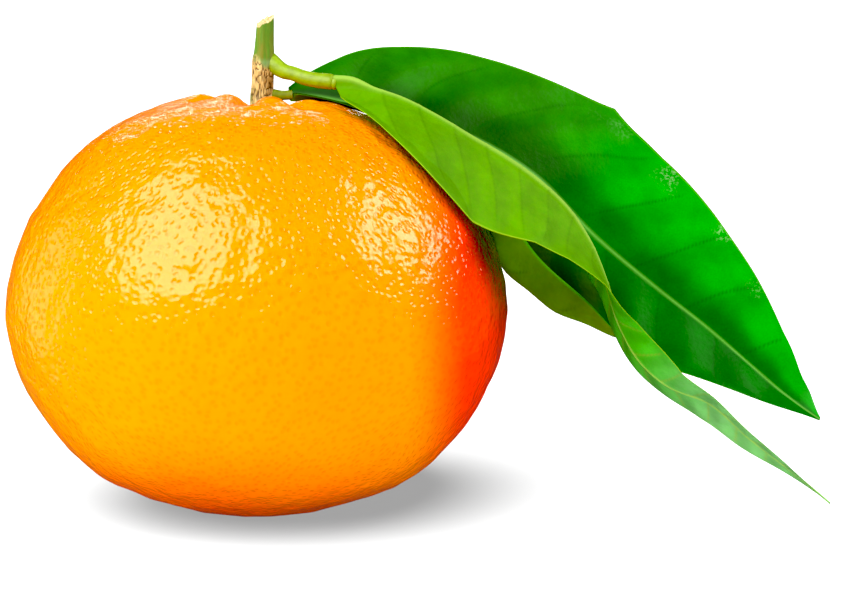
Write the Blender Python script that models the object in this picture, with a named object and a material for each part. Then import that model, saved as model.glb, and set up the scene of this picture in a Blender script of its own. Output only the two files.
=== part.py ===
"""A mandarin with its cut stem and two leaves, resting on a small flat spot.

Metres, +Z up. The origin is the centre of the flat spot under the fruit. The leaves hang
towards +X, and -Y is the front. Every length below is in millimetres times MM.
"""

import math

import bmesh
import bpy
import numpy as np

MM = 0.001

# Fruit: a flattened round body whose meridian is a superellipse, fuller at the shoulder
FRUIT_RADIUS = 33.0 * MM
FRUIT_HALF_HEIGHT = 27.65 * MM
TILT_BACK = math.radians(9.0)
TILT_SIDE = math.radians(1.5)
REST_SPOT_RADIUS = 6.5 * MM
ROUND_EXPONENT = 2.0
SHOULDER_FULLNESS = 0.24
SHOULDER_LOPSIDED = 0.18
BELLY_FULLNESS = 0.13
LEFT_SHOULDER_RISE = 0.35 * MM

# Stem hollow: a bowl in the top of the fruit, with furrows that run up to its rim
HOLLOW_DEPTH = 2.8 * MM
HOLLOW_RADIUS = 6.0 * MM
FURROW_COUNT = 9
FURROW_DEPTH = 0.5 * MM
FURROW_RADIUS = 9.0 * MM
FURROW_SPREAD = 3.5 * MM

# Calyx and stem
CALYX_RADIUS = 3.0 * MM
CALYX_THICKNESS = 0.9 * MM
CALYX_LOBES = 5
STEM_RADIUS = 1.3 * MM
STEM_TOP_TAPER = 0.82
STEM_FOOT_FLARE = 1.12
STEM_REACH = 10.1 * MM
STEM_CUT_SLOPE = math.radians(26.0)
STEM_LEAN = 0.045

# Leaf stalks
FRONT_PETIOLE_RADIUS = 0.88 * MM
BACK_PETIOLE_RADIUS = 0.5 * MM

# Leaves
LEAF_THICKNESS = 0.5 * MM
FRONT_LEAF_LENGTH = 88.7 * MM
FRONT_LEAF_HALF_WIDTH = 13.5 * MM
FRONT_LEAF_TIP_HEIGHT = 2.3 * MM
BACK_LEAF_LENGTH = 90.0 * MM
BACK_LEAF_HALF_WIDTH = 15.5 * MM
BACK_LEAF_TIP_HEIGHT = 8.9 * MM

# Room between pieces that touch on the real thing. The back leaf rests on the fruit, and
# the front leaf lies over the back one, so each keeps its own height above the skin.
PIECE_GAP = 0.3 * MM
BACK_LEAF_LIFT = LEAF_THICKNESS / 2.0 + PIECE_GAP
FRONT_LEAF_LIFT = BACK_LEAF_LIFT + LEAF_THICKNESS + PIECE_GAP

# Mesh fineness
FRUIT_COLUMNS = 54
FRUIT_ROWS = 36
LEAF_ROWS = 38
ROD_SIDES_STEP = 3

# Routes of the midribs, from the foot of the blade to its tip. A row holds where the
# midrib is, from the seat of the stem (right, back, down, in millimetres), and then for
# each half of the blade its width as a share of the half width and its direction as an
# angle round the midrib, from 0 at the front over 90 on top to 180 at the back.
FRONT_LEAF_ROUTE = (
    # right  back   down   front half: width, angle, bend   rear half: width, angle
    (9.8, -3.0, -2.0, 0.04, -40, 0, 0.04, 205),
    (11.7, -3.7, -2.1, 0.25, -42, -4, 0.18, 203),
    (14.5, -4.7, -1.1, 0.46, -23, -8, 0.30, 202),
    (18.4, -5.5, 0.1, 0.70, -14, -12, 0.41, 202),
    (22.9, -6.0, 2.3, 0.89, -18, -14, 0.52, 202),
    (27.3, -6.0, 4.9, 1.00, -28, -12, 0.59, 203),
    (31.9, -6.0, 7.6, 1.00, -32, -8, 0.63, 204),
    (36.4, -6.0, 10.8, 0.90, -33, -4, 0.63, 205),
    (40.1, -6.0, 14.3, 0.76, -27, 0, 0.63, 206),
    (43.0, -6.5, 18.6, 0.61, -12, 0, 0.59, 206),
    (45.1, -7.0, 23.5, 0.52, 13, 0, 0.55, 207),
    (47.0, -7.5, 29.3, 0.44, 34, 0, 0.44, 202),
    (49.9, -8.0, 34.3, 0.41, 47, 0, 0.41, 202),
    (53.3, -8.5, 37.2, 0.37, 45, 0, 0.37, 206),
    (59.0, -9.5, 39.4, 0.33, 25, 0, 0.33, 225),
    (64.0, -10.5, 43.7, 0.26, 22, 0, 0.26, 221),
    (69.2, -11.2, 47.7, 0.16, 18, 0, 0.16, 211),
    (74.7, -12.0, 52.2, 0.03, 10, 0, 0.03, 195),
)
BACK_LEAF_ROUTE = (
    # right  back   down   front half: width, angle, roll   rear half: width, angle
    (3.9, 0.0, -0.1, 0.04, -8, 0, 0.04, 130),
    (7.5, 3.0, 0.6, 0.26, -4, 0, 0.27, 128),
    (11.4, 6.0, 1.7, 0.42, -8, 0, 0.47, 129),
    (18.8, 10.5, 3.7, 0.58, -14, 0, 0.75, 132),
    (27.2, 13.0, 6.8, 0.80, -24, 0, 0.92, 132),
    (36.1, 14.0, 12.0, 1.16, -45, 130, 1.00, 130),
    (45.5, 14.0, 21.2, 1.13, -54, 150, 0.98, 121),
    (54.2, 13.0, 28.3, 0.86, -46, 60, 0.82, 113),
    (60.9, 12.0, 33.4, 0.58, -42, 0, 0.63, 111),
    (67.3, 11.0, 38.8, 0.37, -31, 0, 0.40, 117),
    (71.8, 10.0, 42.5, 0.21, -20, 0, 0.23, 130),
    (76.3, 9.5, 45.6, 0.02, -10, 0, 0.02, 150),
)
ROLL_START = 0.67
ROLL_END = 0.79

# Middle lines of the leaf stalks from the seat of the stem (right, back, up) and their
# thickness as a share of the stalk's own
FRONT_PETIOLE_ROUTE = (
    (1.9, -0.4, 4.1, 1.20),
    (2.8, -0.8, 3.4, 1.06),
    (3.8, -1.2, 3.1, 0.98),
    (4.7, -1.6, 2.8, 0.94),
    (5.8, -2.0, 2.4, 0.94),
    (7.1, -2.4, 2.2, 1.00),
    (9.4, -2.9, 2.1, 1.05),
)
BACK_PETIOLE_ROUTE = (
    (1.9, 0.0, 0.3, 1.10),
    (2.6, 0.0, 0.2, 1.00),
    (3.3, 0.0, 0.2, 1.00),
)


def clear_scene():
    for item in list(bpy.data.objects):
        bpy.data.objects.remove(item, do_unlink=True)


def make_material(name, color, roughness):
    material = bpy.data.materials.new(name)
    material.use_nodes = True
    shader = material.node_tree.nodes["Principled BSDF"]
    shader.inputs["Base Color"].default_value = (*color, 1.0)
    shader.inputs["Roughness"].default_value = roughness
    shader.inputs["Metallic"].default_value = 0.0
    return material


def add_object(name, data, material):
    item = bpy.data.objects.new(name, data)
    item.data.materials.append(material)
    bpy.context.scene.collection.objects.link(item)
    return item


def smooth_step(value):
    value = np.clip(value, 0.0, 1.0)
    return value * value * (3.0 - 2.0 * value)


def curve_through(stations, values, places):
    """Smooth curve through values at increasing stations, read at places (cubic Hermite)."""
    values = np.asarray(values, float)
    step = np.diff(stations)
    slope = np.diff(values, axis=0) / step[:, None]
    tangent = np.empty_like(values)
    inner = slope[:-1] * step[1:, None] + slope[1:] * step[:-1, None]
    tangent[1:-1] = inner / (step[1:] + step[:-1])[:, None]
    tangent[0] = 1.5 * slope[0] - 0.5 * tangent[1]
    tangent[-1] = 1.5 * slope[-1] - 0.5 * tangent[-2]
    cell = np.clip(np.searchsorted(stations, places, side="right") - 1, 0, len(step) - 1)
    width = step[cell][:, None]
    t = np.clip((places - stations[cell])[:, None] / width, 0.0, 1.0)
    return (
        (2 * t**3 - 3 * t**2 + 1) * values[cell]
        + (t**3 - 2 * t**2 + t) * width * tangent[cell]
        + (3 * t**2 - 2 * t**3) * values[cell + 1]
        + (t**3 - t**2) * width * tangent[cell + 1]
    )


def fruit_axes():
    """Right, back and up of the fruit itself, which leans back and a little to the right."""
    up = np.array(
        [
            math.sin(TILT_SIDE),
            math.sin(TILT_BACK) * math.cos(TILT_SIDE),
            math.cos(TILT_BACK) * math.cos(TILT_SIDE),
        ]
    )
    right = np.array([1.0, 0.0, 0.0]) - up[0] * up
    right /= np.linalg.norm(right)
    return np.array([right, np.cross(up, right), up])


def fruit_centre():
    """The centre that puts the lowest point over the origin, sunk by the rest spot's sagitta."""
    half_axes = np.array([FRUIT_RADIUS, FRUIT_RADIUS, FRUIT_HALF_HEIGHT])
    down = fruit_axes() @ np.array([0.0, 0.0, -1.0])
    lowest = half_axes**2 * down / np.linalg.norm(half_axes * down)
    curvature_radius = FRUIT_RADIUS**2 / FRUIT_HALF_HEIGHT
    sagitta = REST_SPOT_RADIUS**2 / (2.0 * curvature_radius)
    return -(lowest @ fruit_axes()) - np.array([0.0, 0.0, sagitta])


def stem_seat():
    """Where the fruit's own axis would leave the top, if the hollow were filled."""
    return fruit_centre() + FRUIT_HALF_HEIGHT * fruit_axes()[2]


def fruit_reach(latitude, longitude):
    """Distance from the centre to the skin, before the hollow and its furrows."""
    degrees_up = np.degrees(latitude)
    upper = smooth_step((degrees_up - 22.0) / 28.0)
    belly = np.exp(-(((degrees_up + 47.0) / 16.0) ** 2))
    fullness = SHOULDER_FULLNESS - SHOULDER_LOPSIDED * np.cos(longitude)
    exponent = ROUND_EXPONENT + upper * fullness + BELLY_FULLNESS * belly
    flat_part = np.abs(np.cos(latitude) / FRUIT_RADIUS) ** exponent
    tall_part = np.abs(np.sin(latitude) / FRUIT_HALF_HEIGHT) ** exponent
    rise = np.exp(-(((degrees_up - 70.0) / 11.0) ** 2)) * (1.0 - np.cos(longitude)) / 2.0
    return (flat_part + tall_part) ** (-1.0 / exponent) + LEFT_SHOULDER_RISE * rise


def fruit_skin(latitude, longitude):
    """Points of the skin in world space, with the hollow and the furrows pressed in."""
    reach = fruit_reach(latitude, longitude)
    out = reach * np.cos(latitude)
    up = reach * np.sin(latitude)
    top_side = smooth_step(latitude / math.radians(30.0))
    bowl = HOLLOW_DEPTH * np.exp(-((out / HOLLOW_RADIUS) ** 2))
    ring = np.exp(-(((out - FURROW_RADIUS) / FURROW_SPREAD) ** 2))
    furrow = FURROW_DEPTH * ring * (1.0 - np.cos(FURROW_COUNT * longitude)) / 2.0
    up = up - top_side * (bowl + furrow)
    local = np.stack([out * np.cos(longitude), out * np.sin(longitude), up], axis=-1)
    return fruit_centre() + local @ fruit_axes()


def lift_off_fruit(points, clearance):
    """Moves every point that is closer to the fruit than the clearance straight out to it."""
    local = (points - fruit_centre()) @ fruit_axes().T
    distance = np.linalg.norm(local, axis=-1)
    latitude = np.arcsin(np.clip(local[..., 2] / distance, -1.0, 1.0))
    longitude = np.arctan2(local[..., 1], local[..., 0])
    least = fruit_reach(latitude, longitude) + clearance
    stretch = np.maximum(distance, least) / distance
    return fruit_centre() + (local * stretch[..., None]) @ fruit_axes()


def build_fruit():
    """A grid of skin points round the fruit's own axis, cut flat at the rest spot."""
    mesh = bmesh.new()
    steps = np.linspace(-1.0, 1.0, FRUIT_ROWS + 1)[1:-1]
    latitudes = math.pi / 2.0 * np.sign(steps) * (1.0 - (1.0 - np.abs(steps)) ** 1.15)
    longitudes = np.linspace(0.0, 2.0 * math.pi, FRUIT_COLUMNS, endpoint=False)
    grid = fruit_skin(latitudes[:, None], longitudes[None, :])
    rings = [[mesh.verts.new(point) for point in ring] for ring in grid]
    foot = mesh.verts.new(fruit_skin(np.array(-math.pi / 2.0), np.array(0.0)))
    crown = mesh.verts.new(fruit_skin(np.array(math.pi / 2.0), np.array(0.0)))
    for column in range(FRUIT_COLUMNS):
        after = (column + 1) % FRUIT_COLUMNS
        mesh.faces.new((foot, rings[0][after], rings[0][column]))
        mesh.faces.new((crown, rings[-1][column], rings[-1][after]))
        for lower, upper in zip(rings[:-1], rings[1:]):
            mesh.faces.new((lower[column], lower[after], upper[after], upper[column]))
    cut = bmesh.ops.bisect_plane(
        mesh,
        geom=mesh.verts[:] + mesh.edges[:] + mesh.faces[:],
        plane_co=(0.0, 0.0, 0.0),
        plane_no=(0.0, 0.0, 1.0),
        clear_inner=True,
    )
    rim = [edge for edge in cut["geom_cut"] if isinstance(edge, bmesh.types.BMEdge)]
    bmesh.ops.contextual_create(mesh, geom=rim)
    bmesh.ops.recalc_face_normals(mesh, faces=mesh.faces[:])
    data = bpy.data.meshes.new("fruit")
    mesh.to_mesh(data)
    mesh.free()
    data.shade_smooth()
    return add_object("fruit", data, make_material("fruit", (1.0, 0.36, 0.01), 0.35))


def build_calyx():
    """A five-lobed button that lines the floor of the hollow, a gap above the skin."""
    rings, columns = 7, 40
    shares = np.linspace(0.0, 1.0, rings + 1)[1:]
    longitudes = np.linspace(0.0, 2.0 * math.pi, columns, endpoint=False)
    lobes = 1.0 + 0.16 * np.cos(CALYX_LOBES * longitudes)
    out = CALYX_RADIUS * shares[:, None] * (1.0 + (lobes[None, :] - 1.0) * shares[:, None])
    latitude = np.arctan2(FRUIT_HALF_HEIGHT, out)
    up = fruit_axes()[2]
    skin = fruit_skin(latitude, np.broadcast_to(longitudes, out.shape))
    pole = fruit_skin(np.array(math.pi / 2.0), np.array(0.0))
    under = skin + PIECE_GAP * up
    rise = CALYX_THICKNESS * np.sqrt(np.clip(1.0 - 0.9 * shares**2, 0.0, 1.0))
    over = under + rise[:, None, None] * up
    mesh = bmesh.new()
    low = [[mesh.verts.new(point) for point in ring] for ring in under]
    high = [[mesh.verts.new(point) for point in ring] for ring in over]
    low_pole = mesh.verts.new(pole + PIECE_GAP * up)
    high_pole = mesh.verts.new(pole + (PIECE_GAP + CALYX_THICKNESS) * up)
    for column in range(columns):
        after = (column + 1) % columns
        mesh.faces.new((low_pole, low[0][after], low[0][column]))
        mesh.faces.new((high_pole, high[0][column], high[0][after]))
        mesh.faces.new((low[-1][column], low[-1][after], high[-1][after], high[-1][column]))
        for ring in range(rings - 1):
            mesh.faces.new(
                (low[ring][column], low[ring][after], low[ring + 1][after], low[ring + 1][column])
            )
            mesh.faces.new(
                (high[ring][column], high[ring + 1][column], high[ring + 1][after], high[ring][after])
            )
    bmesh.ops.recalc_face_normals(mesh, faces=mesh.faces[:])
    data = bpy.data.meshes.new("calyx")
    mesh.to_mesh(data)
    mesh.free()
    return add_object("calyx", data, make_material("calyx", (0.20, 0.24, 0.05), 0.7))


def build_rod(name, points, thicknesses, radius, material):
    """A round rod along a middle line, with closed ends, as a bevelled curve."""
    curve = bpy.data.curves.new(name, "CURVE")
    curve.dimensions = "3D"
    curve.bevel_depth = radius
    curve.bevel_resolution = ROD_SIDES_STEP
    curve.use_fill_caps = True
    spline = curve.splines.new("POLY")
    spline.points.add(len(points) - 1)
    for spot, point, share in zip(spline.points, points, thicknesses):
        spot.co = (*point, 1.0)
        spot.radius = share
    return add_object(name, curve, material)


def stem_ends():
    """Heights of the uncut twig's foot and top above the seat."""
    foot = -HOLLOW_DEPTH + CALYX_THICKNESS + 2.0 * PIECE_GAP
    return foot, STEM_REACH + 1.5 * STEM_RADIUS


def stem_thickness(height):
    """Share of the stem's radius that the twig has at a height above the seat."""
    foot, top = stem_ends()
    return STEM_FOOT_FLARE + (STEM_TOP_TAPER - STEM_FOOT_FLARE) * (height - foot) / (top - foot)


def build_stem():
    """The cut twig: it stands on the calyx, flares at its foot and ends in a sloping cut."""
    seat, axes = stem_seat(), fruit_axes()
    shares = np.linspace(0.0, 1.0, 12)
    heights = np.linspace(*stem_ends(), 12)
    upright = np.array([STEM_LEAN, 0.0, 1.0])
    points = seat + heights[:, None] * (
        axes[2] * (1.0 - smooth_step(shares * 3.0))[:, None]
        + upright * smooth_step(shares * 3.0)[:, None]
    )
    thicknesses = stem_thickness(heights)
    material = make_material("stem", (0.24, 0.20, 0.07), 0.7)
    rod = build_rod("stem_guide", points, thicknesses, STEM_RADIUS, material)
    graph = bpy.context.evaluated_depsgraph_get()
    data = bpy.data.meshes.new_from_object(rod.evaluated_get(graph))
    bpy.data.objects.remove(rod, do_unlink=True)
    mesh = bmesh.new()
    mesh.from_mesh(data)
    bmesh.ops.remove_doubles(mesh, verts=mesh.verts[:], dist=1e-6)
    cut = bmesh.ops.bisect_plane(
        mesh,
        geom=mesh.verts[:] + mesh.edges[:] + mesh.faces[:],
        plane_co=seat + np.array([0.0, 0.0, STEM_REACH]),
        plane_no=(-math.sin(STEM_CUT_SLOPE), 0.0, math.cos(STEM_CUT_SLOPE)),
        clear_outer=True,
    )
    rim = [edge for edge in cut["geom_cut"] if isinstance(edge, bmesh.types.BMEdge)]
    bmesh.ops.contextual_create(mesh, geom=rim)
    bmesh.ops.recalc_face_normals(mesh, faces=mesh.faces[:])
    mesh.to_mesh(data)
    mesh.free()
    data.name = "stem"
    return add_object("stem", data, material)


def build_petiole(name, route, radius, color):
    """A leaf stalk from beside the stem to the foot of its blade."""
    rows = np.array(route)
    stations = np.arange(len(rows), dtype=float)
    places = np.linspace(0.0, stations[-1], 3 * len(rows))
    rows = curve_through(stations, rows, places)
    offsets = rows[:, :3] * MM
    ahead = (offsets[1] - offsets[0]) / np.linalg.norm(offsets[1] - offsets[0])
    end_reach = radius * rows[0, 3] * math.sqrt(1.0 - ahead[0] ** 2)
    height = offsets[0, 2]
    stem_side = STEM_LEAN * height + STEM_RADIUS * stem_thickness(height)
    away = stem_side + PIECE_GAP + end_reach - offsets[0, 0]
    offsets[:, 0] += max(away, 0.0) * np.linspace(1.0, 0.0, len(offsets)) ** 2
    points = stem_seat() + offsets
    return build_rod(name, points, rows[:, 3], radius, make_material(name, color, 0.5))


def midrib_route(rows, length, tip_height):
    """The midrib at the leaf's real length, hanging from the seat to its tip's height."""
    offsets = rows[:, :3] * MM
    drawn = np.linalg.norm(np.diff(offsets, axis=0), axis=1).sum()
    seat = stem_seat()
    foot = offsets[0].copy()
    reach = foot[:2] + (offsets[:, :2] - foot[:2]) * length / drawn
    foot_height = seat[2] - foot[2]
    droop = (foot_height - tip_height) / (offsets[-1, 2] - foot[2])
    height = foot_height - (offsets[:, 2] - foot[2]) * droop
    return np.column_stack([seat[:2] + reach, height])


def build_leaf(name, route, length, half_width, tip_height, lift, rolled, material):
    """A blade: two halves that leave the midrib at their own angles and bend or roll.

    Across a half the direction turns from its first angle by the bend, or by the roll in
    a narrow band near the edge, and the point moves on along that direction.
    """
    rows = np.array(route, float)
    midrib = midrib_route(rows, length, tip_height)
    stations = np.concatenate([[0.0], np.cumsum(np.linalg.norm(np.diff(midrib, axis=0), axis=1))])
    places = np.linspace(0.0, stations[-1], LEAF_ROWS + 1)
    spine = curve_through(stations, midrib, places)
    shape = curve_through(stations, rows[:, 3:], places)
    ahead = np.gradient(spine, axis=0)
    ahead /= np.linalg.norm(ahead, axis=1, keepdims=True)
    front = np.cross(ahead, (0.0, 0.0, 1.0))
    front /= np.linalg.norm(front, axis=1, keepdims=True)
    above = np.cross(front, ahead)
    width_front, angle_front, turn_front, width_rear, angle_rear = shape.T
    plain = np.linspace(0.0, 1.0, 7)
    fine = np.unique(np.concatenate([plain, np.linspace(ROLL_START, ROLL_END, 6)]))

    def half(shares, width, angle, turn, turn_share):
        angles = np.radians(angle[:, None] + turn[:, None] * turn_share[None, :])
        step = np.diff(shares)[None, :]
        along = np.zeros_like(angles)
        over = np.zeros_like(angles)
        along[:, 1:] = np.cumsum((np.cos(angles[:, 1:]) + np.cos(angles[:, :-1])) / 2 * step, axis=1)
        over[:, 1:] = np.cumsum((np.sin(angles[:, 1:]) + np.sin(angles[:, :-1])) / 2 * step, axis=1)
        sideways = along[..., None] * front[:, None] + over[..., None] * above[:, None]
        real_width = np.maximum(width, 0.012) * half_width
        return spine[:, None] + real_width[:, None, None] * sideways

    shares = fine if rolled else plain
    turn_share = smooth_step((shares - ROLL_START) / (ROLL_END - ROLL_START)) if rolled else shares
    front_half = half(shares, width_front, angle_front, turn_front, turn_share)
    rear_half = half(plain, width_rear, angle_rear, np.zeros_like(angle_rear), plain)
    grid = np.concatenate([rear_half[:, ::-1], front_half[:, 1:]], axis=1)
    grid = lift_off_fruit(grid, lift)
    count_along, count_across = grid.shape[:2]
    index = np.arange(count_along * count_across).reshape(count_along, count_across)
    quads = np.stack([index[:-1, :-1], index[1:, :-1], index[1:, 1:], index[:-1, 1:]], axis=-1)
    data = bpy.data.meshes.new(name)
    data.from_pydata(grid.reshape(-1, 3).tolist(), [], quads.reshape(-1, 4).tolist())
    data.shade_smooth()
    leaf = add_object(name, data, material)
    thicken = leaf.modifiers.new("thickness", "SOLIDIFY")
    thicken.thickness = LEAF_THICKNESS
    thicken.offset = 0.0
    return leaf


def build_all():
    clear_scene()
    build_fruit()
    build_calyx()
    build_stem()
    build_petiole("front_petiole", FRONT_PETIOLE_ROUTE, FRONT_PETIOLE_RADIUS, (0.40, 0.55, 0.03))
    build_petiole("back_petiole", BACK_PETIOLE_ROUTE, BACK_PETIOLE_RADIUS, (0.16, 0.24, 0.04))
    build_leaf(
        "front_leaf",
        FRONT_LEAF_ROUTE,
        FRONT_LEAF_LENGTH,
        FRONT_LEAF_HALF_WIDTH,
        FRONT_LEAF_TIP_HEIGHT,
        FRONT_LEAF_LIFT,
        False,
        make_material("front_leaf", (0.14, 0.42, 0.01), 0.55),
    )
    build_leaf(
        "back_leaf",
        BACK_LEAF_ROUTE,
        BACK_LEAF_LENGTH,
        BACK_LEAF_HALF_WIDTH,
        BACK_LEAF_TIP_HEIGHT,
        BACK_LEAF_LIFT,
        True,
        make_material("back_leaf", (0.02, 0.30, 0.01), 0.35),
    )


build_all()
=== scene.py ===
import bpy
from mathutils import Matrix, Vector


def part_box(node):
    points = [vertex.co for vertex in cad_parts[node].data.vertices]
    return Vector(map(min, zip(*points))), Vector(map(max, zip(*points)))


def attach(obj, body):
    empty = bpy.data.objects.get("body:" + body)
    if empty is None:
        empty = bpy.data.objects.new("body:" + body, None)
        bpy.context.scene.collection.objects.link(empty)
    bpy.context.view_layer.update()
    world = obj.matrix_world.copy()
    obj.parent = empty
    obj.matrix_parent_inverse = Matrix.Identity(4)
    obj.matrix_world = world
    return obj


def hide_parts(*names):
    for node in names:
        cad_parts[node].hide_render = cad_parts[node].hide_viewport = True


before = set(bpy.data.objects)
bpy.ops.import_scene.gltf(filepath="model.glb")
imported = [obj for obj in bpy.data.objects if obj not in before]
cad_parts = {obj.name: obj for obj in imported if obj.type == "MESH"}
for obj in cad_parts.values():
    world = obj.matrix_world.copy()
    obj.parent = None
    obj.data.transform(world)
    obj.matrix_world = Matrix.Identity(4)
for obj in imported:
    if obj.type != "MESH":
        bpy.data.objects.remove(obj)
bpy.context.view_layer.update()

import math

import bpy
import numpy as np
from mathutils import Vector

mm = 0.001
up = np.array([0.0, 0.0, 1.0])


# small tools that every piece uses

def smoothStep(value, low=0.0, high=1.0):
    # 0 below low, 1 above high, and a cubic ease in between
    share = np.clip((np.asarray(value, float) - low) / (high - low), 0.0, 1.0)
    return share * share * (3.0 - 2.0 * share)


def bell(distance, width):
    # a bell of height 1 that falls off with the square of distance over width
    return np.exp(-((np.asarray(distance, float) / width) ** 2))


def unit(vectors):
    return vectors / np.maximum(np.linalg.norm(vectors, axis=-1, keepdims=True), 1e-12)


hashing = dict(x=73856093, y=19349663, z=83492791, seed=40503, stir=1274126177)


def hashShare(cells, seed):
    # an even share from 0 to 1 for each whole-number cell: its indices times large numbers, stirred
    cells = cells.astype(np.int64)
    mixed = cells[..., 0] * hashing["x"] ^ cells[..., 1] * hashing["y"] ^ cells[..., 2] * hashing["z"]
    mixed = (mixed ^ (seed * hashing["seed"])) & 0xFFFFFFFF
    mixed = ((mixed ^ (mixed >> 13)) * hashing["stir"]) & 0xFFFFFFFF
    mixed = mixed ^ (mixed >> 16)
    return (mixed & 0xFFFFFF) / float(0xFFFFFF)


def softNoise(points, size, seed):
    # smooth lumps from -1 to 1: random values on a lattice of that size, eased between the eight corners
    scaled = points / size
    low = np.floor(scaled)
    part = scaled - low
    ease = part * part * (3.0 - 2.0 * part)
    total = np.zeros(points.shape[:-1])
    for corner in np.ndindex(2, 2, 2):
        weight = np.prod(np.where(corner, ease, 1.0 - ease), axis=-1)
        total += weight * hashShare(low + np.array(corner), seed)
    return total * 2.0 - 1.0


def nearestSeed(points, size, seed):
    # distance, in cell widths, to the nearest of one random seed point per cell of a lattice
    scaled = points / size
    low = np.floor(scaled)
    nearest = np.full(points.shape[:-1], 9.0)
    for shift in np.ndindex(3, 3, 3):
        cell = low + np.array(shift) - 1.0
        spot = np.stack([hashShare(cell, seed + axis) for axis in range(3)], axis=-1)
        nearest = np.minimum(nearest, np.linalg.norm(cell + 0.15 + 0.7 * spot - scaled, axis=-1))
    return nearest


def curveThrough(stations, values, places):
    # smooth curve through the values at rising stations, read at the places: cubic Hermite pieces whose
    # slopes come from the neighbours
    values = np.asarray(values, float)
    step = np.diff(stations)
    slope = np.diff(values, axis=0) / step[:, None]
    tangent = np.empty_like(values)
    inner = slope[:-1] * step[1:, None] + slope[1:] * step[:-1, None]
    tangent[1:-1] = inner / (step[1:] + step[:-1])[:, None]
    tangent[0] = 1.5 * slope[0] - 0.5 * tangent[1]
    tangent[-1] = 1.5 * slope[-1] - 0.5 * tangent[-2]
    cell = np.clip(np.searchsorted(stations, places, side="right") - 1, 0, len(step) - 1)
    width = step[cell][:, None]
    t = np.clip((places - stations[cell])[:, None] / width, 0.0, 1.0)
    return (
        (2 * t**3 - 3 * t**2 + 1) * values[cell]
        + (t**3 - 2 * t**2 + t) * width * tangent[cell]
        + (3 * t**2 - 2 * t**3) * values[cell + 1]
        + (t**3 - t**2) * width * tangent[cell + 1]
    )


def closedSkin(name, rings, material, attributes=None):
    # one closed surface: rings of points joined to the next ring, and a point that closes each end
    count, around = rings.shape[:2]
    ends = np.array([rings[0].mean(axis=0), rings[-1].mean(axis=0)])
    points = np.concatenate([rings.reshape(-1, 3), ends])
    index = np.arange(count * around).reshape(count, around)
    after = np.roll(index, -1, axis=1)
    quads = np.stack([index[:-1], after[:-1], after[1:], index[1:]], axis=-1).reshape(-1, 4)
    first = np.stack([np.full(around, count * around), after[0], index[0]], axis=-1)
    last = np.stack([np.full(around, count * around + 1), index[-1], after[-1]], axis=-1)
    corners = points[quads]
    volume = np.einsum("ij,ij->i", np.cross(corners[:, 0], corners[:, 1]), corners[:, 2]).sum()
    volume += np.einsum("ij,ij->i", np.cross(corners[:, 0], corners[:, 2]), corners[:, 3]).sum()
    if volume < 0.0:
        quads, first, last = quads[:, ::-1], first[:, ::-1], last[:, ::-1]
    mesh = bpy.data.meshes.new(name)
    mesh.vertices.add(len(points))
    mesh.vertices.foreach_set("co", points.astype(np.float32).ravel())
    loops = np.concatenate([quads.ravel(), first.ravel(), last.ravel()])
    sizes = np.concatenate([np.full(len(quads), 4), np.full(2 * around, 3)])
    mesh.loops.add(len(loops))
    mesh.loops.foreach_set("vertex_index", loops.astype(np.int32))
    mesh.polygons.add(len(sizes))
    mesh.polygons.foreach_set("loop_start", (np.cumsum(sizes) - sizes).astype(np.int32))
    mesh.update(calc_edges=True)
    mesh.validate()
    mesh.shade_smooth()
    for label, values in (attributes or {}).items():
        values = np.broadcast_to(values, (count, around))
        flat = np.concatenate([values.ravel(), [values[0].mean(), values[-1].mean()]])
        layer = mesh.attributes.new(label, "FLOAT", "POINT")
        layer.data.foreach_set("value", flat.astype(np.float32))
    piece = bpy.data.objects.new(name, mesh)
    piece.data.materials.append(material)
    bpy.context.scene.collection.objects.link(piece)
    return piece


pieces = []


def place(piece, node):
    pieces.append(piece)
    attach(piece, "root")
    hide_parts(node)
    print("made", piece.name, len(piece.data.polygons), "faces")


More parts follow.
